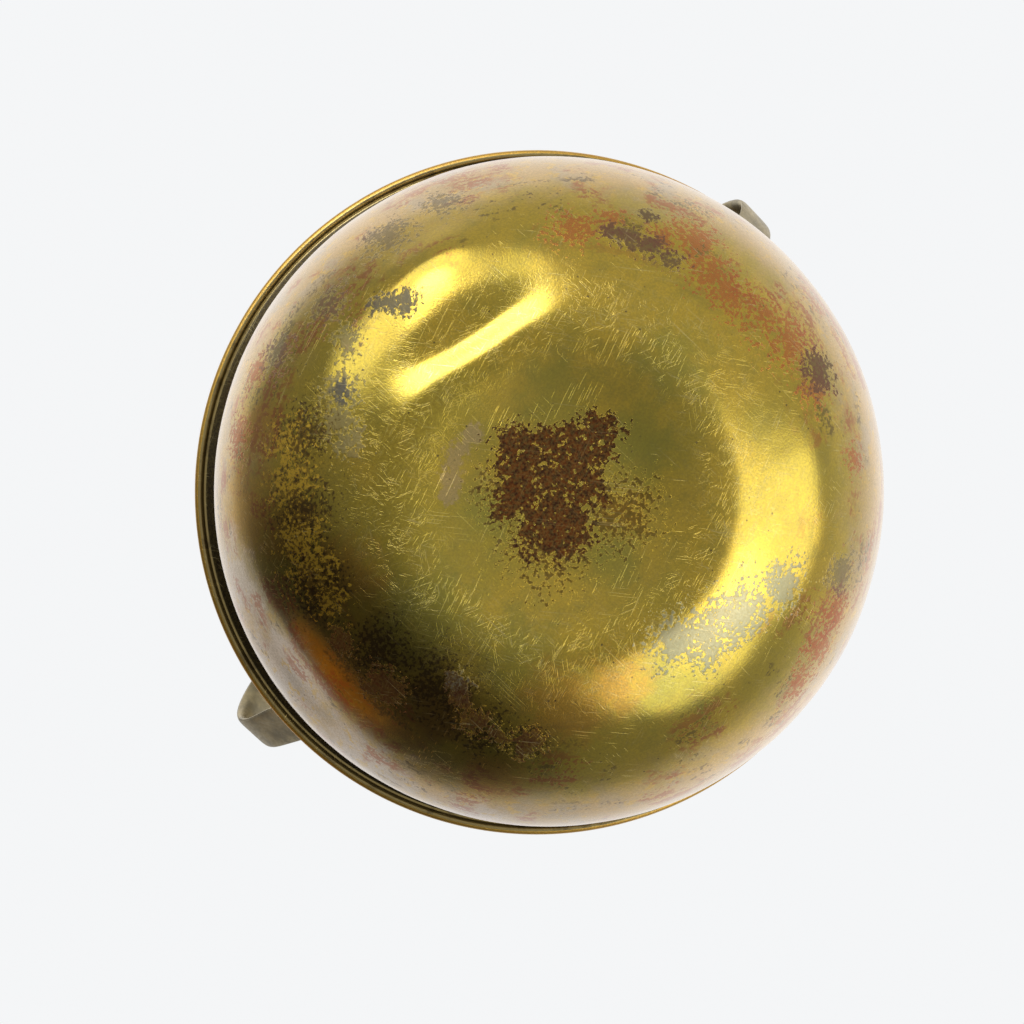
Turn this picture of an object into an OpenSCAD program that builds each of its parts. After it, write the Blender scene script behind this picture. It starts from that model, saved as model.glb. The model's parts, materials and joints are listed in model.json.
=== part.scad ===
// Brass planter pot: a spun round-bellied bowl with a dimpled base, a flared mouth and a strap bail
// that swings on two riveted ears. Millimetres, +Z up, the base ring stands on z = 0, and the
// bail's pivot axis runs along X.

/* [Bowl] */
// Widest diameter of the belly
belly_d = 150; // [140:1:156]
// Radius of the belly's own curve, from base to shoulder
belly_r = 50; // [47:1:53]
// Diameter over the rolled edge of the mouth
rim_d = 166; // [162:1:172]
// Wall thickness of the spun sheet
wall = 1.2; // [0.8:0.1:1.6]
// Diameter of the ring that the bowl stands on
foot_d = 68; // [60:1:72]
// Depth of the dimple pushed up into the base
dimple_h = 3; // [2:0.5:5]

/* [Bail] */
// Width over the outside of the bail's shoulders
bail_w = 193; // [190:1:198]
// Height of the shoulders above the pivot
shoulder_h = 43; // [40:1:48]
// Thickness of the strap
strap_t = 2.4; // [2:0.2:3]
// Width of the strap over its arch
strap_w = 10.6; // [9:0.2:12]
// Lean of the bail from upright, toward -Y
bail_lean = 12; // [0:1:20]

/* [Hidden] */
$fn = 96;

brass = "#a8924a";
dark_brass = "#7d7450";
rivet_brass = "#b9a566";

// Bowl: centres are (radius, height) and angles are measured up from level
foot_r = foot_d / 2;
foot_flat = 1;                                  // half the width of the base ring's flat
crest_r = 18;                                   // rounding on the ring's inner side
crest_c = [foot_r - foot_flat, crest_r];
side_a = 11;                                    // slope of the dimple's side
dish_r = 40;                                    // curve between the dimple's side and its floor
belly_x = belly_d / 2 - belly_r;
belly_a = acos((foot_r + foot_flat - belly_x) / belly_r);   // where the belly meets the base ring
belly_c = [belly_x, belly_r * sin(belly_a)];
shoulder_a = 24;                                // where the belly's curve turns into the neck
neck_r = 10;
neck_c = belly_c + (belly_r + neck_r) * [cos(shoulder_a), sin(shoulder_a)];
flare_a = 35;                                   // slope of the flare
hem_r = 1.3;                                    // rolled edge
hem_x = rim_d / 2 - hem_r;
hem_c = [hem_x, flare_z(0, hem_x)];
rim_z = hem_c[1] + hem_r;

// Ears: straps that follow the inside of the wall from shoulder to flare, then stand up
ear_t = 1.8;
ear_w = 16;
ear_a = 4;                                      // lower end of the ear on the belly's curve
ear_x = 79.2;                                   // outer face of the upright part
ear_rivet_a = [9, 19.5];                        // places of the rivets on the belly's curve
rivet_r = 1.6;
rivet_head_r = 3.2;
rivet_head_h = 1.1;
seat_gap = 0.15;                                // a flat head on the hollow side of a curved strap

// Pivots: a headed rivet fixed in each ear, through a washer and the bail's round end
pivot_z = rim_z + 11.5;
pin_r = 2;
pin_clear = 0.1;                                // running fit of the bail on its rivet
washer_r = 4.6;
washer_t = 0.6;
side_gap = 0.15;                                // play along the rivet on each side of the bail
pin_head_r = 4.2;
pin_head_h = 1.6;
tail_r = 3.4;
tail_h = 1.2;

// Bail: the middle line of the strap in its own plane, as (x, height above the pivot)
bail_x = ear_x + washer_t + side_gap + strap_t / 2;
paddle_r = 8.5;                                 // round ends
paddle_top = 8;                                 // height up to which the ends stay straight
neck_w = 13.4;                                  // width of the strap where it leaves a round end
bend_r = 16;                                    // outward bend above a round end
corner_r = 26;                                  // curve of the shoulder
corner_x = bail_w / 2 - strap_t / 2 - corner_r;
arm_a = arm_slope(28, 12);
crown_a = 30;                                   // half the angle of the flatter top curve
crown_r = corner_r + corner_x / sin(crown_a);
crown_z = shoulder_h - (crown_r - corner_r) * cos(crown_a);

// Height at radius x of the flare's face that lies t inside the outer face
function flare_z(t, x) = neck_c[1] + (neck_r + t) * cos(flare_a)
    + (x - neck_c[0] + (neck_r + t) * sin(flare_a)) * tan(flare_a);

// Lean of the straight arm that is tangent to both the bend and the shoulder, refined step by step
function arm_slope(a, steps) = steps == 0 ? a : arm_slope(atan2(
    corner_x + corner_r * cos(a) - bail_x - bend_r * (1 - cos(a)),
    shoulder_h - corner_r * sin(a) - paddle_top - bend_r * sin(a)), steps - 1);

// Points of an arc round c from angle a0 to angle a1, in n steps
function arc(c, r, a0, a1, n) =
    [for (i = [0:n]) let (a = a0 + (a1 - a0) * i / n) c + r * [cos(a), sin(a)]];
function backward(p) = [for (i = [len(p) - 1:-1:0]) p[i]];
function mirrored(p) = [for (q = backward(p)) [-q[0], q[1]]];

// Underside of the dimple, t inside the outer face, from the axis out to the base ring
function dimple_line(t) =
    let (
        across = [sin(side_a), cos(side_a)],
        rise = dimple_h - (crest_r + dish_r) * (1 - cos(side_a)),
        side_top = crest_c - crest_r * across + rise * [-1 / tan(side_a), 1]
    )
    concat(
        [[0, dimple_h + t]],
        arc(side_top - dish_r * across, dish_r + t, 90, 90 - side_a, 6),
        arc(crest_c, crest_r - t, 270 - side_a, 270, 6));

// Belly from angle a0 up to the shoulder, then the hollow of the neck, t inside the outer face
function body_line(t, a0, n) = concat(
    arc(belly_c, belly_r - t, a0, shoulder_a, n),
    arc(neck_c, neck_r + t, 180 + shoulder_a, 90 + flare_a, 10));

function wall_line(t) = concat(
    dimple_line(t),
    [[foot_r + foot_flat, t]],
    body_line(t, 6 - belly_a, 30),
    [[hem_x, flare_z(t, hem_x)]]);

// Ear's face that lies t inside the bowl's outer face, standing up at radius x to height z
function ear_line(t, x, z) = concat(body_line(t, ear_a, 8), [[x, flare_z(t, x)], [x, z]]);

// Half of the strap's face at distance d outside its middle line, from pivot to crown
function strap_line(d) = concat(
    [[bail_x + d, -paddle_r]],
    arc([bail_x + bend_r, paddle_top], bend_r - d, 180, 180 - arm_a, 8),
    arc([corner_x, shoulder_h], corner_r + d, -arm_a, 90 - crown_a, 20),
    arc([0, crown_z], crown_r + d, 90 - crown_a, 90, 16));

// Round head of radius r and height h, standing on z = 0
module dome(r, h) {
    ball = (r * r + h * h) / (2 * h);
    intersection() {
        translate([0, 0, h - ball]) sphere(ball);
        cylinder(r = r, h = h);
    }
}

// Puts its children at each rivet of an ear, with z = 0 on the belly's centre and +Z outward
module at_ear_rivets() for (a = ear_rivet_a)
    translate([belly_c[0], 0, belly_c[1]]) rotate([0, 90 - a, 0]) children();

// Puts its children on a pivot, with +Z outward along the pivot's axis from x = 0
module at_pivot() translate([0, 0, pivot_z]) rotate([0, 90, 0]) children();

module on_left() rotate([0, 0, 180]) children();

module ear_rivet_holes() at_ear_rivets() cylinder(r = rivet_r, h = belly_r + 2);

module bowl() color(brass) difference() {
    rotate_extrude() {
        polygon(concat(wall_line(0), backward(wall_line(wall))));
        translate(hem_c) circle(r = hem_r);
    }
    ear_rivet_holes();
    on_left() ear_rivet_holes();
}

// Straight strap with two round ends, from height z0 to height z1, seen along X
module ear_outline(z0, z1) {
    translate([0, z0 + ear_w / 2]) circle(r = ear_w / 2);
    translate([-ear_w / 2, z0 + ear_w / 2]) square([ear_w, z1 - z0 - ear_w]);
    translate([0, z1 - ear_w / 2]) circle(r = ear_w / 2);
}

module ear() color(dark_brass) difference() {
    intersection() {
        union() {
            rotate_extrude() polygon(concat(
                ear_line(wall, ear_x, rim_z),
                backward(ear_line(wall + ear_t, ear_x - ear_t, rim_z))));
            translate([ear_x - ear_t, -ear_w / 2, rim_z]) cube([ear_t, ear_w, 2 * ear_w]);
        }
        rotate([90, 0, 90]) linear_extrude(belly_d)
            ear_outline(belly_c[1] + belly_r * sin(ear_a), pivot_z + ear_w / 2);
    }
    ear_rivet_holes();
    at_pivot() cylinder(r = pin_r, h = belly_d);
}

// A head outside the wall and a peened head inside the ear, on one shank
module ear_rivets() color(rivet_brass) at_ear_rivets() {
    seat = belly_r - wall - ear_t - seat_gap;
    translate([0, 0, seat]) cylinder(r = rivet_r, h = belly_r - seat);
    translate([0, 0, belly_r]) dome(rivet_head_r, rivet_head_h);
    translate([0, 0, seat]) mirror([0, 0, 1]) dome(rivet_head_r, rivet_head_h);
}

module pivot_washer() color(rivet_brass) at_pivot() translate([0, 0, ear_x]) difference() {
    cylinder(r = washer_r, h = washer_t);
    translate([0, 0, -1]) cylinder(r = pin_r + pin_clear / 2, h = washer_t + 2);
}

module pivot_rivet() color(rivet_brass) at_pivot() {
    tail_seat = ear_x - ear_t;
    head_seat = bail_x + strap_t / 2 + side_gap;
    translate([0, 0, tail_seat]) cylinder(r = pin_r, h = head_seat - tail_seat);
    translate([0, 0, head_seat]) dome(pin_head_r, pin_head_h);
    translate([0, 0, tail_seat]) mirror([0, 0, 1]) dome(tail_r, tail_h);
}

// Strap seen along X: a round end on the pivot, a tapering arm, then the even width of the arch
module strap_outline() {
    circle(r = paddle_r);
    polygon([
        [-neck_w / 2, 0], [neck_w / 2, 0],
        [strap_w / 2, shoulder_h], [-strap_w / 2, shoulder_h]
    ]);
    translate([-strap_w / 2, shoulder_h - 1]) square([strap_w, 2 * shoulder_h]);
}

module bail() color(dark_brass) translate([0, 0, pivot_z]) rotate([bail_lean, 0, 0]) difference() {
    intersection() {
        rotate([90, 0, 0]) linear_extrude(3 * paddle_r, center = true) polygon(concat(
            strap_line(strap_t / 2), mirrored(strap_line(strap_t / 2)),
            backward(mirrored(strap_line(-strap_t / 2))), backward(strap_line(-strap_t / 2))));
        rotate([90, 0, 90]) linear_extrude(2 * bail_w, center = true) strap_outline();
    }
    rotate([0, 90, 0]) cylinder(r = pin_r + pin_clear, h = 2 * bail_w, center = true);
}

bowl();
on_left() ear();  // ear_left
ear();  // ear_right
on_left() ear_rivets();  // ear_rivets_left
ear_rivets();  // ear_rivets_right
bail();
on_left() pivot_washer();  // pivot_washer_left
pivot_washer();  // pivot_washer_right
on_left() pivot_rivet();  // pivot_rivet_left
pivot_rivet();  // pivot_rivet_right
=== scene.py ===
"""Looks of the brass planter pot: worn spun bowl, riveted ears and a swinging strap bail."""

import json
import math
import bpy
from mathutils import Matrix, Vector, noise


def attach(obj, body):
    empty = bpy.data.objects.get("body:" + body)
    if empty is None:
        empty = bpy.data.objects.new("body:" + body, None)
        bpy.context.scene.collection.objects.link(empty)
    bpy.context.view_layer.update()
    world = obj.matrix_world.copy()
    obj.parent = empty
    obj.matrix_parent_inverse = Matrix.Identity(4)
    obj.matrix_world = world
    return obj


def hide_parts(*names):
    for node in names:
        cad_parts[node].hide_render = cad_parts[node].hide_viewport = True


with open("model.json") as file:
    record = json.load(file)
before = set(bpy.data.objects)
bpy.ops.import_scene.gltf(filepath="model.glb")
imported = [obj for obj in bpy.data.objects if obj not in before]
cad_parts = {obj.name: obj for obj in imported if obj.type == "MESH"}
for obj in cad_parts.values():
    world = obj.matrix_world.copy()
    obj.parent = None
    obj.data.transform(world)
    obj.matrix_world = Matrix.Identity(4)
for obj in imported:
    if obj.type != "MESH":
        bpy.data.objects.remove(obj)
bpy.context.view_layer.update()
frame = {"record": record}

# ---------------------------------------------------------------- sizes, in millimetres
MM = 0.001
BELLY_R = 50.0
BELLY_X = 25.0
FOOT_R = 35.0
WALL = 1.2
DIMPLE_H = 3.0
NECK_R = 10.0
SHOULDER_A = 24.0
FLARE_A = 35.0
HEM_R = 1.28
HEM_X = 81.65
EAR_T = 1.8
EAR_W = 16.0
EAR_X = 79.2
EAR_A = 4.0
EAR_RIVETS_A = (9.0, 19.5)
SEAT_GAP = 0.15
WASHER_T = 0.6
SIDE_GAP = 0.15
STRAP_T = 2.4
STRAP_W = 10.5
BAIL_HALF = 96.5
BAIL_LEAN = 12.0
BAIL_X = EAR_X + WASHER_T + SIDE_GAP + STRAP_T / 2
PADDLE_R = 8.45
PADDLE_TOP = 8.0
PADDLE_NECK_W = 13.2
SHOULDER_H = 43.0

joint = frame["record"]["behaviour"]["joints"][0]
PIVOT_Z = joint["pos_m"][2] / MM


def polar(r, degrees):
    a = math.radians(degrees)
    return Vector((r * math.cos(a), r * math.sin(a)))


def arc(centre, r, start, end, steps):
    """Points round centre from angle start to angle end, in degrees."""
    return [Vector(centre) + polar(r, start + (end - start) * i / steps) for i in range(steps + 1)]


def smoothstep(low, high, x):
    t = min(1.0, max(0.0, (x - low) / (high - low)))
    return t * t * (3 - 2 * t)


def resample(points, step):
    """The same line with points at even distances of about step."""
    lengths = [0.0]
    for a, b in zip(points, points[1:]):
        lengths.append(lengths[-1] + (b - a).length)
    count = max(2, round(lengths[-1] / step))
    out = []
    k = 0
    for i in range(count + 1):
        want = lengths[-1] * i / count
        while k < len(points) - 2 and lengths[k + 1] < want:
            k += 1
        span = lengths[k + 1] - lengths[k]
        out.append(points[k].lerp(points[k + 1], (want - lengths[k]) / span if span else 0.0))
    return out


def relax(points, passes):
    """Rounds the corners of a line, and keeps its ends."""
    for _ in range(passes):
        inner = [(a + 2 * b + c) / 4 for a, b, c in zip(points, points[1:], points[2:])]
        points = [points[0]] + inner + [points[-1]]
    return points


def normals_of(points):
    """Unit vectors to the right of a line's direction of travel."""
    out = []
    for i in range(len(points)):
        along = points[min(i + 1, len(points) - 1)] - points[max(i - 1, 0)]
        out.append(Vector((along.y, -along.x)).normalized())
    return out


# ---------------------------------------------------------------- the bowl's outline
BELLY_A = math.degrees(math.acos((FOOT_R - BELLY_X) / BELLY_R))
BELLY_C = Vector((BELLY_X, BELLY_R * math.sin(math.radians(BELLY_A))))
NECK_C = BELLY_C + polar(BELLY_R + NECK_R, SHOULDER_A)


def flare_z(inset, x):
    """Height of the flare at radius x, inset from its outer face."""
    slope = math.radians(FLARE_A)
    reach = x - NECK_C.x + (NECK_R + inset) * math.sin(slope)
    return NECK_C.y + (NECK_R + inset) * math.cos(slope) + reach * math.tan(slope)


HEM_C = Vector((HEM_X, flare_z(0, HEM_X)))
RIM_Z = HEM_C.y + HEM_R


def dimple_line():
    """Underside of the dimple, from the axis out to the base ring."""
    crest_r, dish_r, slope = 18.0, 40.0, 11.0
    crest = Vector((FOOT_R - 2.0, crest_r))
    across = polar(1.0, 90 - slope)
    rise = DIMPLE_H - (crest_r + dish_r) * (1 - math.cos(math.radians(slope)))
    top = crest - across * crest_r + rise * Vector((-1 / math.tan(math.radians(slope)), 1))
    floor = arc(top - across * dish_r, dish_r, 90, 90 - slope, 8)
    return [Vector((0, DIMPLE_H))] + floor + arc(crest, crest_r, 270 - slope, 270, 8)


def outer_line():
    """The bowl's outer face from the axis to the rolled edge."""
    base = dimple_line() + [Vector((FOOT_R, 0))]
    belly = arc(BELLY_C, BELLY_R, 4 - BELLY_A, SHOULDER_A, 40)
    neck = arc(NECK_C, NECK_R, 180 + SHOULDER_A, 90 + FLARE_A, 14)
    line = resample(base + belly + neck + [HEM_C - polar(HEM_R, FLARE_A)], 1.0)
    line = relax(line, 9)
    low = min(p.y for p in line)
    return [Vector((p.x, p.y - low * (1 - smoothstep(5, 30, p.y)))) for p in line]


OUTER = outer_line()


def on_bowl(r, degrees, up=False):
    """Point on the outer face at radius r: on the underside, or above the widest level if up."""
    widest = max(range(len(OUTER)), key=lambda i: OUTER[i].x if OUTER[i].y < NECK_C.y else 0)
    part = OUTER[widest:] if up else OUTER[:widest]
    z = min(part, key=lambda p: abs(p.x - r)).y
    flat = polar(r, degrees)
    return Vector((flat.x, flat.y, z))


# ---------------------------------------------------------------- mesh building
def make_object(name, verts, faces, material):
    mesh = bpy.data.meshes.new(name)
    mesh.from_pydata([tuple(c * MM for c in v) for v in verts], [], faces)
    mesh.update()
    mesh.polygons.foreach_set("use_smooth", [True] * len(mesh.polygons))
    mesh.materials.append(material)
    piece = bpy.data.objects.new(name, mesh)
    bpy.context.scene.collection.objects.link(piece)
    return piece


def bridge(rings, closed):
    """Faces between rings of equal size; closed joins the last ring to the first."""
    n = len(rings[0])
    faces = []
    pairs = list(zip(rings, rings[1:])) + ([(rings[-1], rings[0])] if closed else [])
    for a, b in pairs:
        for i in range(n):
            j = (i + 1) % n
            faces.append((a[i], b[i], b[j], a[j]))
    return faces


def lathe(name, loop, segments, material, place=None, shape=None):
    """Turns a closed outline of (radius, height) points; points on the axis become poles."""
    verts, rings = [], []
    for k, p in enumerate(loop):
        if p[0] < 1e-6:
            rings.append([len(verts)] * segments)
            verts.append(Vector((0, 0, p[1])))
            continue
        rings.append(list(range(len(verts), len(verts) + segments)))
        for i in range(segments):
            a = 2 * math.pi * i / segments
            verts.append(Vector((p[0] * math.cos(a), p[0] * math.sin(a), p[1])))
    if shape:
        verts = [shape(v) for v in verts]
    if place:
        verts = [place @ v for v in verts]
    open_ends = loop[0][0] < 1e-6 and loop[-1][0] < 1e-6
    faces = []
    for f in bridge(rings, closed=not open_ends):
        kept = tuple(dict.fromkeys(f))
        if len(kept) > 2:
            faces.append(kept)
    return make_object(name, verts, faces, material)


def strap(name, stations, material, sides=28, square=5.0):
    """A closed bar of flat section. A station is (middle, across, outward, width, thickness, crown),
    where middle may be a function that places a point from its two distances to the middle."""
    verts, rings = [], []
    for middle, across, outward, width, thickness, crown in stations:
        rings.append(list(range(len(verts), len(verts) + sides)))
        for i in range(sides):
            a = 2 * math.pi * i / sides
            u = math.copysign(abs(math.cos(a)) ** (2 / square), math.cos(a))
            v = math.copysign(abs(math.sin(a)) ** (2 / square), math.sin(a))
            depth = v * thickness / 2 - (crown * u * u if v > 0 else 0.0)
            verts.append(middle(u * width / 2, depth) if callable(middle)
                         else middle + across * (u * width / 2) + outward * depth)
    faces = bridge(rings, closed=False)
    faces.append(tuple(rings[0]))
    faces.append(tuple(reversed(rings[-1])))
    return make_object(name, verts, faces, material)


# ---------------------------------------------------------------- material graph helpers
class Graph:
    """Short names for the nodes that the materials are made of. Lengths are in millimetres."""

    def __init__(self, tree):
        self.tree = tree
        coords = self.add("ShaderNodeTexCoord")
        scale = self.add("ShaderNodeVectorMath", operation="SCALE")
        self.join(coords.outputs["Object"], scale.inputs[0])
        scale.inputs["Scale"].default_value = 1 / MM
        self.place = scale.outputs[0]

    def add(self, kind, **settings):
        node = self.tree.nodes.new(kind)
        for key, value in settings.items():
            setattr(node, key, value)
        return node

    def join(self, source, target):
        if isinstance(source, bpy.types.NodeSocket):
            self.tree.links.new(source, target)
        else:
            target.default_value = source

    def math(self, operation, a, b=0.0, third=0.0):
        node = self.add("ShaderNodeMath", operation=operation)
        self.join(a, node.inputs[0])
        self.join(b, node.inputs[1])
        if operation in ("SMOOTH_MIN", "MULTIPLY_ADD"):
            node.inputs[2].default_value = third
        return node.outputs[0]

    def vector(self, operation, a, b=(0, 0, 0)):
        node = self.add("ShaderNodeVectorMath", operation=operation)
        self.join(a, node.inputs[0])
        self.join(b, node.inputs[1])
        return node.outputs["Value" if operation in ("LENGTH", "DISTANCE", "DOT_PRODUCT") else "Vector"]

    def ramp(self, value, low, high, out_low=0.0, out_high=1.0, smooth=True):
        node = self.add("ShaderNodeMapRange", clamp=True)
        node.interpolation_type = "SMOOTHSTEP" if smooth else "LINEAR"
        for i, part in enumerate((value, low, high, out_low, out_high)):
            self.join(part, node.inputs[i])
        return node.outputs["Result"]

    def noise(self, size, detail=4.0, rough=0.55, longer=(1, 1, 1), turn=0.0, shift=0.0, warp=0.0):
        """Fractal noise with features about size millimetres wide, made longer along some axes
        after a turn about Z."""
        mapping = self.add("ShaderNodeMapping", vector_type="TEXTURE")
        self.join(self.place, mapping.inputs["Vector"])
        mapping.inputs["Rotation"].default_value = (0, 0, math.radians(turn))
        mapping.inputs["Location"].default_value = (shift, shift * 0.7, -shift)
        mapping.inputs["Scale"].default_value = [size * part for part in longer]
        node = self.add("ShaderNodeTexNoise")
        self.join(mapping.outputs[0], node.inputs["Vector"])
        node.inputs["Scale"].default_value = 1.0
        node.inputs["Detail"].default_value = detail
        node.inputs["Roughness"].default_value = rough
        node.inputs["Distortion"].default_value = warp
        return node.outputs["Fac"]

    def turned(self, radius, height, size, detail=2.0):
        """Noise that is even round the pot's axis, as bands about size millimetres wide."""
        place = self.add("ShaderNodeCombineXYZ")
        self.join(radius, place.inputs[0])
        self.join(height, place.inputs[1])
        node = self.add("ShaderNodeTexNoise")
        self.join(place.outputs[0], node.inputs["Vector"])
        node.inputs["Scale"].default_value = 1 / size
        node.inputs["Detail"].default_value = detail
        return node.outputs["Fac"]

    def cells(self, size, shift=0.0):
        """Distance to the nearest of scattered points."""
        mapping = self.add("ShaderNodeMapping")
        self.join(self.place, mapping.inputs["Vector"])
        mapping.inputs["Location"].default_value = (shift, -shift, shift)
        node = self.add("ShaderNodeTexVoronoi")
        self.join(mapping.outputs[0], node.inputs["Vector"])
        node.inputs["Scale"].default_value = 1 / size
        return node.outputs["Distance"]

    def mix(self, amount, a, b):
        node = self.add("ShaderNodeMix", data_type="RGBA")
        self.join(amount, node.inputs[0])
        self.join(a if isinstance(a, bpy.types.NodeSocket) else (*a, 1), node.inputs[6])
        self.join(b if isinstance(b, bpy.types.NodeSocket) else (*b, 1), node.inputs[7])
        return node.outputs[2]

    def paint(self, colour, mask, strength, over):
        """The colour with another laid over it where the mask is."""
        return self.mix(self.math("MULTIPLY", mask, strength), colour, over)

    def sway(self, noise, amount):
        """Noise that swings by about half the amount each way."""
        return self.math("MULTIPLY", self.math("SUBTRACT", noise, 0.5), amount)

    def less(self, mask, share):
        """What is left of 1 when a share of the mask is taken away."""
        return self.math("MULTIPLY_ADD", mask, -share, third=1.0)

    def blend(self, amount, a, b):
        """A number between a and b."""
        node = self.add("ShaderNodeMix", data_type="FLOAT")
        self.join(amount, node.inputs[0])
        self.join(a, node.inputs[2])
        self.join(b, node.inputs[3])
        return node.outputs[0]

    def all_of(self, *masks):
        """The product of several masks."""
        out = masks[0]
        for m in masks[1:]:
            out = self.math("MULTIPLY", out, m)
        return out

    def either(self, *masks):
        """The strongest of several masks."""
        out = masks[0]
        for m in masks[1:]:
            out = self.math("MAXIMUM", out, m)
        return out

    def field(self, spots):
        """Distance from the nearest of some spots on the bowl, each as (radius, angle, size). It is
        1 on a spot's edge and less inside."""
        nearest = None
        for r, degrees, size in spots:
            distance = self.vector("DISTANCE", self.place, tuple(on_bowl(r, degrees)))
            scaled = self.math("DIVIDE", distance, size)
            nearest = scaled if nearest is None else self.math("SMOOTH_MIN", nearest, scaled, 0.35)
        return nearest

    def stain(self, spots, rag, fine, break_up=1.0, soft=0.12):
        """Mask of spots, 1 inside and 0 outside. The noise rag bends their edges, and the noise
        fine breaks them into speckles that thin out towards the edge."""
        fill = self.math("SUBTRACT", 1.0, self.field(spots))
        fill = self.math("ADD", fill, self.sway(rag, 3.0))
        fill = self.math("ADD", fill, self.sway(fine, 4.5 * break_up))
        return self.ramp(fill, -soft, soft)

    def tinge(self, spots, rag):
        """Soft mask of spots for a change of tint."""
        fill = self.math("SUBTRACT", 1.2, self.field(spots))
        fill = self.math("ADD", fill, self.sway(rag, 2.5))
        return self.ramp(fill, -0.3, 0.9)

    def scratches(self, count, width, length, gap, level, shift):
        """Fine straight marks in count directions. The level, from 0 to 1, thins them out, and
        they come in patches about gap millimetres wide."""
        out = None
        for i in range(count):
            turn = 180 * i / count + 11 * (i % 3)
            lines = self.noise(width, 0.0, longer=(1, length / width, 9), turn=turn, shift=shift + 13 * i)
            gaps = self.noise(gap, 1.0, shift=shift + 29 * i)
            marks = self.all_of(self.ramp(lines, level, level + 0.06), self.ramp(gaps, 0.46, 0.60))
            out = marks if out is None else self.either(out, marks)
        return out


def new_material(name, kind=Graph):
    material = bpy.data.materials.new(name)
    material.use_nodes = True
    material.node_tree.nodes.clear()
    return material, kind(material.node_tree)


def finish_metal(g, colour, metal, rough, height, strength, lacquer=0.0):
    """Joins the parts of a worn metal to its shader. Old lacquer lays a pale gloss over it."""
    shader = g.add("ShaderNodeBsdfPrincipled")
    g.join(colour, shader.inputs["Base Color"])
    g.join(metal, shader.inputs["Metallic"])
    g.join(rough, shader.inputs["Roughness"])
    g.join(lacquer, shader.inputs["Coat Weight"])
    shader.inputs["Coat Roughness"].default_value = 0.2
    bump = g.add("ShaderNodeBump")
    bump.inputs["Strength"].default_value = strength
    bump.inputs["Distance"].default_value = MM
    g.join(height, bump.inputs["Height"])
    g.join(bump.outputs[0], shader.inputs["Normal"])
    output = g.add("ShaderNodeOutputMaterial")
    g.join(shader.outputs[0], output.inputs["Surface"])


# ---------------------------------------------------------------- materials
# Spots on the underside of the bowl, as (radius, angle, size)
CRUST = [
    (3.3, -33, 9.0), (9.2, -17, 6.4), (14.0, -17, 4.2),
    (10.8, -96, 6.0), (9.6, -140, 5.2), (8, 150, 7.4),
]
THIN_CRUST = [(12.0, 66, 6.6), (10, 150, 8.4), (11, -130, 6.0)]
COPPER = [
    (54.5, -42, 3.6), (57.5, -33, 2.6), (56.5, -22, 3.4), (55.5, -10, 4.6), (54, -3, 4.4),
    (55.5, 5, 4.6), (57, 13, 5.0), (58, 24, 3.6), (60, -16, 4.6), (63, 40, 2.6),
    (64, 70, 3.6), (65, 77, 4.0), (66, 84, 3.4), (69, -112, 3.2), (69, -124, 3.4),
]
PURPLE = [
    (54.6, -32, 2.6), (54.8, -29, 3.2), (53.8, -24, 3.2),
    (52.8, -19, 2.8), (60.5, -26, 1.9), (60, 21, 4.4),
]
SLATE = [
    (53.6, -88.0, 2.3), (52.2, -86, 2.8), (50.2, -84, 2.2),
    (48.8, -85, 1.6), (50.0, -110, 1.8), (45, 165, 2.6),
]
RED_BROWN = [
    (51, 157, 3.0), (52, 150, 2.8), (53, 144, 3.4),
    (54.6, 179, 4.0), (48, 163, 2.0), (55, -168, 2.6),
]
GREY = [
    (54.5, -99, 3.0), (50.5, -110, 3.0), (48.5, -117, 3.6), (46.0, -122, 3.0), (62, -95, 3.8),
    (65, -78, 4.4), (66, -66, 3.6), (62, 62, 3.4), (66, -108, 3.6),
]
LICHEN = [(38.5, 99, 4.6), (41.5, 91, 5.2), (44.5, 80, 4.8), (50, 69, 4.0)]
GOLDEN = [(57, -124, 4.4), (56, -133, 4.8), (55, -143, 4.8), (54.5, -151, 5.2), (53, -159, 3.6)]
SPECKLED = [
    (55, -122, 6.0), (54, -138, 7.0), (55, -155, 7.0), (50.5, -176, 7.0),
    (48, 169, 7.5), (52.5, 154, 6.0), (52, 145, 4.4), (46, 164, 3.4),
]
# dark brown patches low on the left of the belly: a painted reflection of something dark
DARK_REFLECTION = [(57, 180, 13.0), (52, 168, 10.0), (58, -165, 9.0)]
AMBER = [
    (44, 136, 9), (41, 122, 7.0), (58, 172, 8), (60, -172, 10), (52, 165, 9),
    (50, -155, 9), (58, -142, 8), (62, 150, 8), (66, -138, 11), (65, -122, 7),
]
BARE = [(66, -140, 15), (66, -118, 13), (64, -103, 8)]
GREEN = [
    (34, -4, 8), (18, 10, 8), (17, 100, 6), (19, -50, 9),
    (38, -176, 11), (36, 150, 9), (47, 108, 9), (16, -150, 6),
]
# pale patches near the belly's outline: a painted reflection of a white surface
PALE_REFLECTION = [(71, -168, 13), (72, 172, 12), (71, -150, 10), (73, 150, 10)]
# a pale pink arc on the dimple's corner: a painted reflection along that corner
CORNER_REFLECTION_ARC = [(22.4, -104, 2.2), (23, -112, 2.2), (23.2, -120, 2.2), (23.2, -128, 2.2), (23.4, -136, 2.0)]

# Heights and radii where the bowl's tarnish and its painted neck shade change, and a point that the inner
# face looks at
FILM_FROM, FILM_FULL = 10, 26
NECK_SHADE_FROM, NECK_SHADE_FULL = 58, 70
OUTER_FROM, OUTER_FULL = 44, 60
ROLLED_FROM, ROLLED_FULL = HEM_X - 1.1, HEM_X - 0.6
TIDE = 40
HEART = (0, 0, 60)


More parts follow.
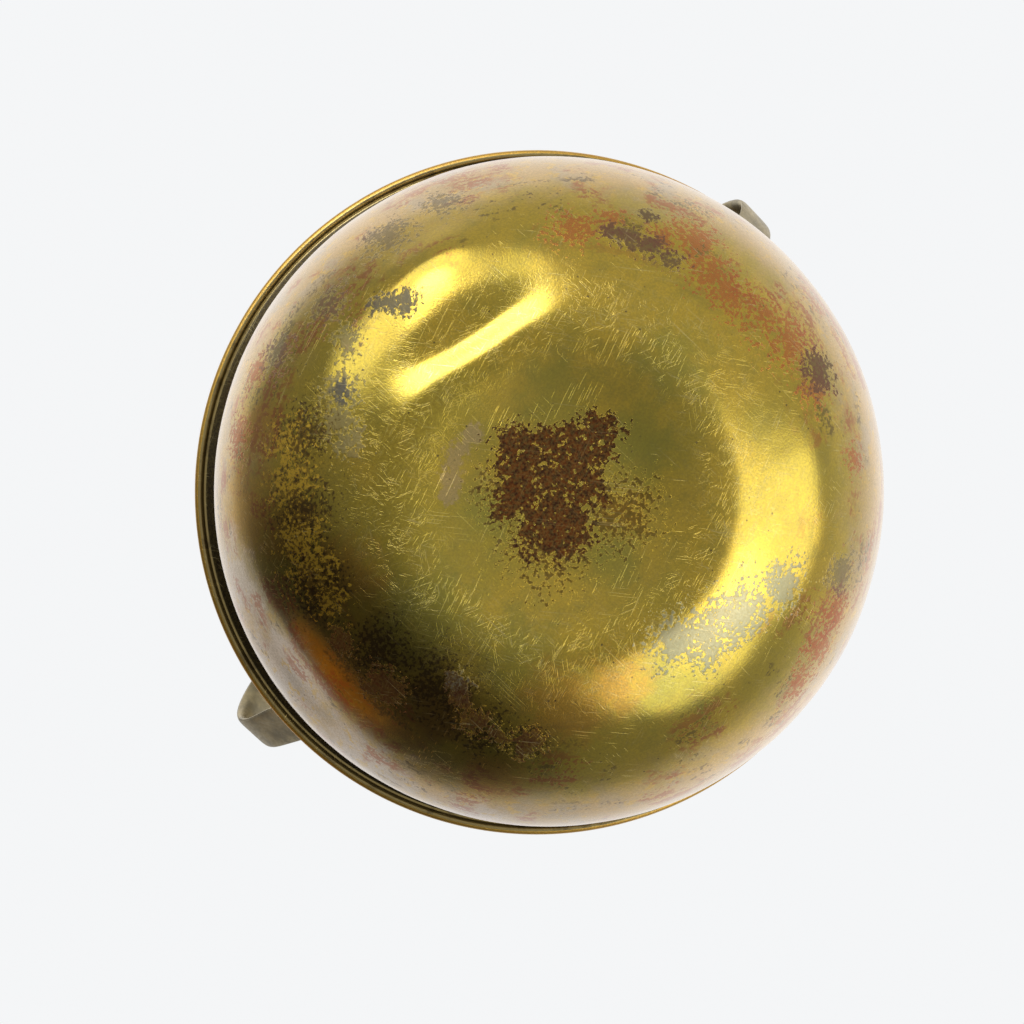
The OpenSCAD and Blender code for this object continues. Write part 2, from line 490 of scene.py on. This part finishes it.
class BowlGraph(Graph):
    """The graph of the bowl's material, with the noises and places that its layers share."""

    def __init__(self, tree):
        super().__init__(tree)
        self.mottle = self.noise(5, 4, 0.65, shift=11)
        self.grain = self.noise(0.5, 2, 0.65, shift=7)
        self.rag = self.noise(5.0, 5, 0.66, shift=19, warp=0.4)
        self.fine = self.noise(0.95, 4, 0.62, shift=41)
        split = self.add("ShaderNodeSeparateXYZ")
        self.join(self.place, split.inputs[0])
        self.height = split.outputs["Z"]
        self.radius = self.vector("LENGTH", self.vector("MULTIPLY", self.place, (1, 1, 0)))
        self.side = self.math("ADD", self.height, self.sway(self.rag, 16))


def worn_sheet(g):
    """Olive to gold brass, greener in places."""
    cloud = g.noise(24, 2, 0.5, shift=3)
    colour = g.mix(g.ramp(cloud, 0.38, 0.62), (0.55, 0.42, 0.045), (0.68, 0.48, 0.05))
    colour = g.mix(g.ramp(g.mottle, 0.44, 0.68, 0, 0.5), colour, (0.42, 0.34, 0.05))
    return g.paint(colour, g.tinge(GREEN, g.rag), 0.48, (0.29, 0.31, 0.05))


def side_film(g, colour):
    """A pink and grey film on the side, which fades towards the base and is rubbed through, with a painted
    dark reflection low on the left and a painted pale reflection near the outline.
    """
    film = g.all_of(g.ramp(g.side, FILM_FROM, FILM_FULL), g.ramp(g.height, 76, 56, 0.5, 1.0))
    film = g.all_of(film, g.less(g.tinge(BARE, g.rag), 0.75))
    colour = g.paint(colour, film, 0.55, (0.72, 0.46, 0.29))
    greyer = g.all_of(g.ramp(g.noise(11, 4, 0.6, shift=63), 0.50, 0.62), film)
    colour = g.paint(colour, greyer, 0.4, (0.45, 0.41, 0.33))
    colour = g.paint(colour, g.tinge(AMBER, g.rag), 0.7, (0.66, 0.34, 0.04))
    # painted reflection: dark brown patches stand in for something dark reflected in the belly
    colour = g.paint(colour, g.tinge(DARK_REFLECTION, g.rag), 0.6, (0.20, 0.10, 0.02))
    # painted reflection: pale patches near the outline stand in for a reflected white surface
    colour = g.paint(colour, g.tinge(PALE_REFLECTION, g.rag), 0.6, (0.80, 0.72, 0.66))
    rubbed = g.all_of(g.ramp(g.noise(3.6, 5, 0.7, shift=101), 0.55, 0.61), film)
    return g.paint(colour, rubbed, 0.7, (0.80, 0.50, 0.06)), film


def side_streaks(g, colour):
    """Red and brown streaks that run round the outer part of the belly."""
    bands = g.math("ADD", g.turned(g.radius, g.height, 2.6), g.sway(g.fine, 0.9))
    outer_part = g.ramp(g.radius, OUTER_FROM, OUTER_FULL)
    patches = g.ramp(g.noise(15, 4, 0.6, shift=51), 0.50, 0.58)
    red = g.all_of(g.ramp(bands, 0.50, 0.56), patches, outer_part)
    colour = g.paint(colour, red, 0.8, (0.46, 0.14, 0.04))
    patches = g.ramp(g.noise(13, 4, 0.6, shift=57), 0.52, 0.60)
    dark = g.all_of(g.ramp(bands, 0.46, 0.40), patches, outer_part)
    return g.paint(colour, dark, 0.7, (0.12, 0.07, 0.025))


def oxide_spots(g, colour):
    """The stains, and a painted reflection along the dimple's corner. Gives the colour, the mask of
    what is no longer bright metal, and the mask of the golden flecks."""
    rag, fine = g.rag, g.fine
    golden_grain = g.noise(1.2, 4, 0.65, shift=66)
    brown_grain = g.noise(0.8, 4, 0.66, shift=43)
    copper = g.stain(COPPER, rag, fine, 1.7, 0.3)
    lichen = g.stain(LICHEN, rag, fine, 1.3, 0.3)
    grey = g.math("MULTIPLY", g.stain(GREY, rag, fine, 1.5, 0.35), 0.6)
    slate = g.stain(SLATE, rag, fine, 1.1, 0.35)
    golden = g.stain(GOLDEN, g.blend(0.5, rag, 0.42), golden_grain, 1.6, 0.3)
    brown = g.stain(SPECKLED, g.blend(0.5, rag, 0.25), brown_grain, 1.6, 0.22)
    red_brown = g.stain(RED_BROWN, rag, fine, 0.9, 0.2)
    purple = g.stain(PURPLE, rag, fine, 1.0, 0.3)
    # the pink arc is a painted reflection along the dimple's corner
    pink = g.stain(CORNER_REFLECTION_ARC, rag, fine, 0.5, 0.3)
    for mask, strength, over in (
        (copper, 0.75, (0.56, 0.14, 0.045)),
        (lichen, 0.7, (0.25, 0.28, 0.25)),
        (grey, 1.0, (0.16, 0.15, 0.125)),
        (slate, 0.85, (0.085, 0.09, 0.10)),
        (golden, 0.85, (1.0, 0.64, 0.06)),
        (brown, 0.8, (0.085, 0.030, 0.005)),
        (red_brown, 0.85, (0.075, 0.020, 0.008)),
        (purple, 0.82, (0.115, 0.066, 0.06)),
        (pink, 0.5, (0.56, 0.40, 0.25)),
    ):
        colour = g.paint(colour, mask, strength, over)
    half_bright = (g.math("MULTIPLY", copper, 0.4), g.math("MULTIPLY", lichen, 0.6))
    return colour, g.either(slate, grey, purple, red_brown, *half_bright), golden


def dimple_crust(g, colour):
    """Dark brown crust in the dimple's middle, broken by brass flecks."""
    thick = g.stain(CRUST, g.rag, g.fine, 0.55, 0.08)
    thin = g.stain(THIN_CRUST, g.blend(0.4, g.rag, 0.46), g.fine, 1.3, 0.15)
    crust = g.either(thick, g.math("MULTIPLY", thin, 0.8))
    flecks = g.ramp(g.noise(1.5, 3, 0.6, shift=88), 0.61, 0.65)
    crust = g.all_of(crust, g.less(flecks, 1.0))
    brown = g.mix(g.ramp(g.fine, 0.40, 0.62), (0.120, 0.032, 0.003), (0.038, 0.010, 0.002))
    return g.mix(crust, colour, brown), crust


def neck_and_rim(g, colour):
    """The neck under the flare is painted near black, partly its tarnish and partly painted shade, and the
    rolled edge is rubbed to amber.
    """
    rolled = g.ramp(g.radius, ROLLED_FROM, ROLLED_FULL)
    neck_tarnish_and_shade = g.all_of(g.ramp(g.side, NECK_SHADE_FROM, NECK_SHADE_FULL), g.less(rolled, 1.0))
    # painted shade: the neck under the flare is darkened nearly to black, on top of its real tarnish
    colour = g.paint(colour, neck_tarnish_and_shade, 0.96, (0.022, 0.013, 0.005))
    return g.paint(colour, rolled, 0.85, (0.80, 0.47, 0.07)), g.either(neck_tarnish_and_shade, rolled)


def hair_scratches(g, crust):
    """Scratches, most of them round the base ring. Gives the mask of the rubbed ring as well."""
    rub = g.all_of(g.ramp(g.radius, 22, 33), g.ramp(g.radius, 52, 37), g.ramp(g.height, 12, 9))
    dense = g.scratches(7, 0.15, 4.5, 4.0, 0.69, 5)
    few = g.scratches(3, 0.18, 12, 10.0, 0.73, 90)
    lines = g.either(g.all_of(dense, g.math("MULTIPLY_ADD", rub, 0.95, third=0.05)), few)
    return g.all_of(lines, g.less(crust, 0.8)), rub


def soiled_inside(g):
    """Mask of the inner face, and its colour, metal and roughness with a tide mark of wet soil."""
    towards = g.vector("NORMALIZE", g.vector("SUBTRACT", HEART, g.place))
    facing = g.vector("DOT_PRODUCT", g.add("ShaderNodeNewGeometry").outputs["Normal"], towards)
    inside = g.ramp(facing, -0.02, 0.04)
    tide = g.math("ADD", g.height, g.sway(g.rag, 18))
    soil = g.mix(g.ramp(tide, TIDE + 20, TIDE), (0.44, 0.34, 0.13), (0.19, 0.125, 0.06))
    chalk = g.all_of(g.ramp(tide, TIDE - 2, TIDE + 3), g.ramp(tide, TIDE + 12, TIDE + 5))
    soil = g.paint(soil, chalk, g.ramp(g.fine, 0.42, 0.56, 0.15, 0.7), (0.50, 0.48, 0.38))
    soil = g.mix(g.ramp(g.mottle, 0.5, 0.66, 0, 0.6), soil, (0.12, 0.085, 0.04))
    metal = g.ramp(tide, TIDE, TIDE + 18, 0.5, 1.0)
    rough = g.ramp(tide, TIDE, TIDE + 20, 0.5, 0.30)
    return inside, soil, metal, rough


def bowl_brass():
    material, g = new_material("bowl_brass", BowlGraph)
    colour = worn_sheet(g)
    colour, film = side_film(g, colour)
    colour = side_streaks(g, colour)
    colour, spots, golden = oxide_spots(g, colour)
    colour, crust = dimple_crust(g, colour)

    # specks all over
    patches = g.ramp(g.noise(12, 2, shift=77), 0.44, 0.60)
    specks = g.all_of(g.ramp(g.cells(2.6, 5), 0.10, 0.06), patches)
    colour = g.paint(colour, specks, 0.8, (0.10, 0.06, 0.03))

    # the second mask covers the neck's tarnish and painted shade, and the rolled edge
    colour, neck_shade_and_rim = neck_and_rim(g, colour)
    lines, rub = hair_scratches(g, crust)
    colour = g.paint(colour, lines, 0.30, (0.90, 0.78, 0.40))
    colour = g.mix(g.ramp(g.grain, 0.36, 0.64, 0.0, 0.5), colour, g.mix(0.5, colour, (0.26, 0.20, 0.05)))

    oxide = g.either(crust, spots)
    metal = g.blend(oxide, 1.0, 0.8)
    rough = g.blend(g.ramp(g.grain, 0.3, 0.7), 0.11, 0.17)
    for mask, duller in ((rub, 0.06), (film, 0.06), (neck_shade_and_rim, 0.25), (golden, 0.22)):
        rough = g.math("ADD", rough, g.math("MULTIPLY", mask, duller))
    rough = g.blend(oxide, rough, 0.48)

    inside, soil, soil_metal, soil_rough = soiled_inside(g)
    colour = g.mix(inside, colour, soil)
    metal = g.blend(inside, metal, soil_metal)
    rough = g.blend(inside, rough, soil_rough)

    # grain, scratches, crusted oxide, turning marks of the spun sheet and small knocks
    bumps = g.math("MULTIPLY", g.grain, 0.020)
    for mask, depth in (
        (lines, -0.015),
        (g.math("MULTIPLY", oxide, g.fine), 0.10),
        (g.turned(g.radius, g.height, 0.9), g.blend(inside, 0.010, 0.05)),
        (g.noise(9, 1, 0.5, shift=31), 0.12),
    ):
        bumps = g.math("ADD", bumps, g.math("MULTIPLY", mask, depth))
    finish_metal(g, colour, metal, rough, bumps, 0.7, g.blend(oxide, 0.7, 0.1))
    return material


def fittings_brass():
    material, g = new_material("fittings_brass")
    mottle = g.noise(6, 5, 0.6, shift=2)
    grain = g.noise(0.8, 4, 0.6, shift=5)
    colour = g.mix(g.ramp(mottle, 0.35, 0.65), (0.28, 0.245, 0.155), (0.45, 0.38, 0.22))
    rough = g.ramp(grain, 0.3, 0.7, 0.30, 0.44)
    lines = g.scratches(3, 0.4, 9, 6.0, 0.68, 3)
    height = g.math("SUBTRACT", g.math("MULTIPLY", grain, 0.03), g.math("MULTIPLY", lines, 0.04))
    finish_metal(g, colour, 1.0, rough, height, 0.6)
    return material


def rivet_brass():
    material, g = new_material("rivet_brass")
    mottle = g.noise(2, 5, 0.6, shift=2)
    grain = g.noise(0.5, 4, 0.6, shift=5)
    colour = g.mix(g.ramp(mottle, 0.35, 0.65), (0.40, 0.31, 0.12), (0.66, 0.52, 0.20))
    rough = g.ramp(grain, 0.3, 0.7, 0.24, 0.36)
    finish_metal(g, colour, 1.0, rough, g.math("MULTIPLY", grain, 0.03), 0.6)
    return material


# ---------------------------------------------------------------- pieces
DENTS = [
    # centre, width along the slope, width round the bowl, depth inward; a bulge has a negative depth
    (on_bowl(37.4, -76), 4.9, 14.0, 2.0),
    (on_bowl(53.4, -75), 7.5, 15.0, -2.1),
    (on_bowl(42, 29), 12.0, 20.0, 0.9),
    (on_bowl(43, -128), 13.0, 18.0, 0.8),
    (on_bowl(69, -170), 9.0, 20.0, 1.3),
    (on_bowl(64, 160), 9.0, 14.0, 0.5),
    (on_bowl(60, 40), 12.0, 18.0, 0.35),
    (on_bowl(68, -60), 8.0, 18.0, 0.6),
    (on_bowl(72, 100, up=True), 9.0, 15.0, 0.6),
    (on_bowl(73, -20, up=True), 8.0, 12.0, 0.5),
]


def dented(point):
    """How far the sheet is pushed in at a point on its outer face."""
    push = 0.06 * smoothstep(0.0, 1.0, point.z)
    for centre, along, around, depth in DENTS:
        apart = point - centre
        sideways = Vector((-centre.y, centre.x, 0)).normalized()
        side = apart.dot(sideways)
        down = (apart - sideways * side).length
        push += depth * math.exp(-(side / around) ** 2 - (down / along) ** 2)
    wave = noise.noise(point / 19.0) * 0.14 + noise.noise(point / 7.0 + Vector((9, 0, 0))) * 0.03
    return push + wave * smoothstep(0.0, 1.0, point.z)


def make_bowl(material):
    segments = 288
    inward = [-n for n in normals_of(OUTER)]
    tip_angle = 90 + FLARE_A + math.degrees(math.acos(WALL / HEM_R))
    hem = arc(HEM_C, HEM_R, FLARE_A - 180, tip_angle, 18)
    fade_from = len(OUTER) - 8
    verts, rings = [], []

    def ring(points_at):
        rings.append(list(range(len(verts), len(verts) + segments)))
        for i in range(segments):
            verts.append(points_at(2 * math.pi * i / segments))

    def push_at(k):
        """Inward push round the bowl at one level. The rolled edge and the places under the ears
        keep their shape."""
        row = []
        for i in range(segments):
            a = 2 * math.pi * i / segments
            p = Vector((OUTER[k].x * math.cos(a), OUTER[k].x * math.sin(a), OUTER[k].y))
            keep = smoothstep(len(OUTER), fade_from, k)
            beside_ear = smoothstep(12, 22, abs(p.y)) if p.z > 44 else 1.0
            row.append(dented(p) * keep * beside_ear)
        return row

    pushes = [push_at(k) for k in range(len(OUTER))]

    def wall_point(k, inset):
        def at(a):
            turn = Vector((math.cos(a), math.sin(a), 0))
            move = inset + pushes[k][round(a * segments / (2 * math.pi))]
            p = turn * OUTER[k].x + Vector((0, 0, OUTER[k].y))
            return p + (turn * inward[k].x + Vector((0, 0, inward[k].y))) * move
        return at

    for k in range(1, len(OUTER)):
        ring(wall_point(k, 0.0))
    for p in hem[1:-1]:
        ring(lambda a, p=p: Vector((p.x * math.cos(a), p.x * math.sin(a), p.y)))
    for k in range(len(OUTER) - 1, 0, -1):
        ring(wall_point(k, WALL))
    faces = bridge(rings, closed=False)
    under, above = len(verts), len(verts) + 1
    verts.append(Vector((0, 0, OUTER[0].y)))
    verts.append(Vector((0, 0, OUTER[0].y + WALL)))
    for i in range(segments):
        j = (i + 1) % segments
        faces.append((under, rings[0][i], rings[0][j]))
        faces.append((above, rings[-1][j], rings[-1][i]))
    piece = make_object("bowl_shell", verts, faces, material)
    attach(piece, "pot")
    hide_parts("bowl")
    return piece


def bail_line():
    """Middle line of the strap from pivot to crown, as (x, height above the pivot)."""
    bend_r, corner_r, crown_a = 16.0, 26.0, 30.0
    corner_x = BAIL_HALF - STRAP_T / 2 - corner_r
    slope = 28.0
    for _ in range(12):
        a = math.radians(slope)
        dx = corner_x + corner_r * math.cos(a) - BAIL_X - bend_r * (1 - math.cos(a))
        dz = SHOULDER_H - corner_r * math.sin(a) - PADDLE_TOP - bend_r * math.sin(a)
        slope = math.degrees(math.atan2(dx, dz))
    crown_r = corner_r + corner_x / math.sin(math.radians(crown_a))
    crown_z = SHOULDER_H - (crown_r - corner_r) * math.cos(math.radians(crown_a))
    line = [Vector((BAIL_X, -PADDLE_R)), Vector((BAIL_X, PADDLE_TOP))]
    line += arc((BAIL_X + bend_r, PADDLE_TOP), bend_r, 180, 180 - slope, 12)
    line += arc((corner_x, SHOULDER_H), corner_r, -slope, 90 - crown_a, 24)
    line += arc((0, crown_z), crown_r, 90 - crown_a, 90, 20)
    return relax(resample(line, 1.0), 3)


def make_bail(material):
    half = bail_line()
    line = half + [Vector((-p.x, p.y)) for p in reversed(half[:-1])]
    outward = [-n for n in normals_of(line)]
    lean = Matrix.Rotation(math.radians(BAIL_LEAN), 3, "X")
    pivot = Vector((0, 0, PIVOT_Z))
    stations = []
    for p, n in zip(line, outward):
        h = p.y
        round_end = 2 * math.sqrt(max(0.0, PADDLE_R ** 2 - min(h, PADDLE_R - 0.05) ** 2))
        arm = PADDLE_NECK_W - (PADDLE_NECK_W - STRAP_W) * smoothstep(0, SHOULDER_H, h)
        width = max(round_end, arm * smoothstep(-7, 2, h))
        width += 1.2 * math.exp(-((h - 7.5) / 3.0) ** 2)
        crown = 0.15 + 0.55 * smoothstep(6, 26, h)
        wobble = 0.1 * noise.noise(Vector((p.x / 9, h / 9, 3)))
        stations.append((
            pivot + lean @ Vector((p.x, 0, h)), lean @ Vector((0, 1, 0)), lean @ Vector((n.x, 0, n.y)),
            max(0.8, width + wobble), STRAP_T - 0.1 + wobble * 0.5, crown))
    piece = strap("bail_strap", stations, material, sides=36)
    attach(piece, "bail")
    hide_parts("bail")
    return piece


def make_ear(side, material):
    """side is 1 at +X and -1 at -X."""
    middle = WALL + EAR_T / 2 + 0.02
    line = arc(BELLY_C, BELLY_R - middle, EAR_A, SHOULDER_A, 10)
    line += arc(NECK_C, NECK_R + middle, 180 + SHOULDER_A, 90 + FLARE_A, 12)
    bend_x = EAR_X - EAR_T / 2
    line += [Vector((bend_x, flare_z(middle, bend_x))), Vector((bend_x, PIVOT_Z + EAR_W / 2 - 0.1))]
    line = relax(resample(line, 0.7), 3)
    lengths = [0.7 * i for i in range(len(line))]
    total = lengths[-1]
    half = EAR_W / 2
    facing = normals_of(line)
    stations = []
    for p, n, s in zip(line, facing, lengths):
        short_of_round = max(0.0, half - min(s, total - s))
        width = 2 * math.sqrt(max(0.01, half ** 2 - short_of_round ** 2))
        curl = 1 - smoothstep(RIM_Z - 2, RIM_Z + 3, p.y)

        def at(v, depth, p=p, n=n, curl=curl):
            r = p.x + n.x * depth
            z = p.y + n.y * depth
            a = v / r
            x = r * (1 - curl + curl * math.cos(a))
            y = v * (1 - curl) + curl * r * math.sin(a)
            return Vector((side * x, side * y, z))

        stations.append((at, None, None, max(0.6, width - 0.1), EAR_T - 0.06, 0.0))
    piece = strap("ear_strap_" + ("right" if side > 0 else "left"), stations, material, sides=32, square=7)
    node = "ear_right" if side > 0 else "ear_left"
    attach(piece, "pot")
    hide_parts(node)
    return piece


def dome_line(r, h, steps):
    """A low round head's outline from its rim to the axis, standing on height 0."""
    ball = (r * r + h * h) / (2 * h)
    top = math.degrees(math.asin((ball - h) / ball))
    edge = [Vector((r, 0)), Vector((r * 0.995, 0.12 * h))]
    curve = arc((0, h - ball), ball, top, 90, steps)
    return edge + curve[1:-1] + [Vector((0, h))]


def rivet_loop(shank_r, length, head_r, head_h, tail_r, tail_h):
    """A headed rivet's outline: tail below height 0, head above height length."""
    tail = [Vector((p.x, -p.y)) for p in dome_line(tail_r, tail_h, 8)]
    head = [Vector((p.x, p.y + length)) for p in dome_line(head_r, head_h, 8)]
    shank = [Vector((shank_r, 0)), Vector((shank_r, length))]
    return list(reversed(tail)) + shank + head


def hammered(seed, amount):
    """Small flats left on a head by the hammer."""
    def shape(v):
        flat = abs(noise.noise(v / 1.6 + Vector((seed, seed, 0)))) * amount
        return v - Vector((0, 0, flat if v.z > 0 else -flat))
    return shape


def make_rivets(side, material):
    name = "right" if side > 0 else "left"
    turn = Matrix.Rotation(0 if side > 0 else math.pi, 4, "Z")
    seat = BELLY_R - WALL - EAR_T - SEAT_GAP
    made = []
    for i, a in enumerate(EAR_RIVETS_A):
        tilt = Matrix.Rotation(math.radians(90 - a), 4, "Y")
        place = turn @ Matrix.Translation((BELLY_C.x, 0, BELLY_C.y)) @ tilt @ Matrix.Translation((0, 0, seat))
        loop = rivet_loop(1.6, BELLY_R - seat, 3.2, 1.05, 3.2, 1.05)
        piece = lathe(f"ear_rivet_{name}_{i + 1}", loop, 40, material, place, hammered(3 * i + side, 0.16))
        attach(piece, "pot")
        made.append(piece)
    for piece in made:
        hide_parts("ear_rivets_" + name)

    along = turn @ Matrix.Translation((0, 0, PIVOT_Z)) @ Matrix.Rotation(math.pi / 2, 4, "Y")
    head_seat = BAIL_X + STRAP_T / 2 + SIDE_GAP
    tail_seat = EAR_X - EAR_T
    place = along @ Matrix.Translation((0, 0, tail_seat))
    pivot = lathe("pivot_pin_" + name, rivet_loop(2.0, head_seat - tail_seat, 4.2, 1.55, 3.4, 1.15), 44,
                  material, place, hammered(side * 5, 0.2))
    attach(pivot, "pot")
    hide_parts("pivot_rivet_" + name)

    bore, flat, edge, bevel, lip = 2.06, 4.35, 4.58, 0.15, 0.02
    ring = [
        (bore, lip), (flat, 0.0), (edge, bevel),
        (edge, WASHER_T - bevel), (flat, WASHER_T), (bore, WASHER_T - lip),
    ]
    washer = lathe("washer_ring_" + name, ring, 44, material, along @ Matrix.Translation((0, 0, EAR_X)))
    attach(washer, "pot")
    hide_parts("pivot_washer_" + name)


# ---------------------------------------------------------------- camera
# The camera looks up at the base, close to the pot's own axis.
CAMERA_AT = Vector((-24.5, -21.5, -445.0)) * MM
CAMERA_LOOK = Vector((0.0311, 0.0377, 0.9988)).normalized()
CAMERA_UP = Vector((0.7192, -0.6948, 0.0038))


def make_camera():
    data = bpy.data.cameras.new("camera")
    data.lens = 77.3
    data.sensor_width = 36.0
    data.clip_start = 0.01
    data.clip_end = 20.0
    camera = bpy.data.objects.new("camera", data)
    right = CAMERA_LOOK.cross(CAMERA_UP).normalized()
    up = right.cross(CAMERA_LOOK)
    camera.matrix_world = Matrix((right, up, -CAMERA_LOOK)).transposed().to_4x4()
    camera.location = CAMERA_AT
    bpy.context.scene.collection.objects.link(camera)
    bpy.context.scene.camera = camera
    return right, up


# ---------------------------------------------------------------- studio
def from_camera(right, up, off_axis, around):
    """World direction that lies off_axis degrees from the way back to the camera, at the angle
    around, counter-clockwise from the picture's right."""
    a, b = math.radians(off_axis), math.radians(around)
    return (right * math.cos(b) + up * math.sin(b)) * math.sin(a) - CAMERA_LOOK * math.cos(a)


def make_world(right, up):
    world = bpy.data.worlds.new("studio")
    bpy.context.scene.world = world
    world.use_nodes = True
    world.node_tree.nodes.clear()
    g = Graph(world.node_tree)
    ray = g.add("ShaderNodeTexCoord").outputs["Generated"]

    def patch(off_axis, around, size, soft):
        towards = g.vector("DOT_PRODUCT", ray, tuple(from_camera(right, up, off_axis, around)))
        outer = math.cos(math.radians(size + soft))
        inner = math.cos(math.radians(max(0.0, size - soft)))
        return g.ramp(towards, outer, inner)

    def along(direction, low, high):
        return g.ramp(g.vector("DOT_PRODUCT", ray, tuple(direction)), low, high)

    split = g.add("ShaderNodeSeparateXYZ")
    g.join(ray, split.inputs[0])
    height = split.outputs["Z"]
    tilt = g.math("MULTIPLY", g.vector("DOT_PRODUCT", ray, tuple(from_camera(right, up, 90, 15))), 0.26)
    table = g.ramp(g.math("ADD", height, tilt), 0.14, 0.50)
    room = g.ramp(g.vector("DOT_PRODUCT", ray, tuple((right + up).normalized())), -0.7, 0.8, 0.24, 0.52)
    room = g.blend(patch(80, -134, 45, 14), room, 0.05)
    bright = g.ramp(height, 0.30, 0.80, 0.72, 1.05)
    bright = g.blend(patch(112, -125, 46, 20), bright, 0.52)
    light = g.blend(table, room, bright)

    window = g.either(patch(54, 117, 22, 4), patch(57, 137, 15, 4))
    window_core = patch(40, 118, 9, 5)
    lamp = g.all_of(g.either(patch(57, -8, 25, 5), patch(52, -42, 22, 6)), along(up, 0.24, 0.12))
    lamp_core = patch(50, -28, 9, 7)
    warm = patch(99, -138, 14, 6)
    for glow, strength in ((window, 1.6), (window_core, 4.0), (lamp, 1.5), (lamp_core, 2.4), (warm, 0.25)):
        light = g.math("ADD", light, g.math("MULTIPLY", glow, strength))
    tint = g.mix(table, (1.0, 0.97, 0.90), (1.0, 0.97, 0.95))
    tint = g.mix(warm, tint, (1.0, 0.55, 0.16))

    studio = g.add("ShaderNodeBackground")
    g.join(tint, studio.inputs["Color"])
    g.join(light, studio.inputs["Strength"])
    plain = g.add("ShaderNodeBackground")
    plain.inputs["Color"].default_value = (0.91, 0.92, 0.93, 1)
    rays = g.add("ShaderNodeLightPath")
    either = g.add("ShaderNodeMixShader")
    g.join(rays.outputs["Is Camera Ray"], either.inputs[0])
    g.join(studio.outputs[0], either.inputs[1])
    g.join(plain.outputs[0], either.inputs[2])
    output = g.add("ShaderNodeOutputWorld")
    g.join(either.outputs[0], output.inputs["Surface"])


def make_floor():
    """A pale floor under the pot. Its lower side is clear, so the base can be seen from below."""
    half = 4.0
    mesh = bpy.data.meshes.new("floor")
    corners = [(-half, -half, 0), (half, -half, 0), (half, half, 0), (-half, half, 0)]
    mesh.from_pydata(corners, [], [(0, 1, 2, 3)])
    material = bpy.data.materials.new("floor_paint")
    material.use_nodes = True
    material.node_tree.nodes.clear()
    g = Graph(material.node_tree)
    paint = g.add("ShaderNodeBsdfDiffuse")
    g.join(g.mix(g.noise(60, 3, 0.5), (0.80, 0.80, 0.79), (0.84, 0.84, 0.83)), paint.inputs["Color"])
    clear = g.add("ShaderNodeBsdfTransparent")
    side = g.add("ShaderNodeNewGeometry")
    both = g.add("ShaderNodeMixShader")
    g.join(side.outputs["Backfacing"], both.inputs[0])
    g.join(paint.outputs[0], both.inputs[1])
    g.join(clear.outputs[0], both.inputs[2])
    output = g.add("ShaderNodeOutputMaterial")
    g.join(both.outputs[0], output.inputs["Surface"])
    mesh.materials.append(material)
    floor = bpy.data.objects.new("floor", mesh)
    floor.visible_glossy = False
    floor.visible_diffuse = False
    floor.visible_shadow = False
    bpy.context.scene.collection.objects.link(floor)


def soft_light(name, place, size, power, colour):
    data = bpy.data.lights.new(name, "AREA")
    data.shape = "DISK"
    data.size = size
    data.energy = power
    data.color = colour
    light = bpy.data.objects.new(name, data)
    light.location = place
    light.visible_glossy = False
    light.rotation_mode = "QUATERNION"
    light.rotation_quaternion = (Vector((0, 0, 0.08)) - Vector(place)).to_track_quat("-Z", "Y")
    bpy.context.scene.collection.objects.link(light)


def make_lights():
    soft_light("key", (-0.9, -1.1, 1.5), 1.4, 10, (1.0, 0.97, 0.93))
    soft_light("fill", (1.3, 0.4, 1.2), 1.6, 6, (0.93, 0.96, 1.0))


# ---------------------------------------------------------------- build
bowl_material = bowl_brass()
fittings_material = fittings_brass()
rivet_material = rivet_brass()
make_bowl(bowl_material)
make_bail(fittings_material)
for side in (1, -1):
    make_ear(side, fittings_material)
    make_rivets(side, rivet_material)

right, up = make_camera()
make_world(right, up)
make_floor()
make_lights()
bpy.context.scene.view_settings.view_transform = "Standard"
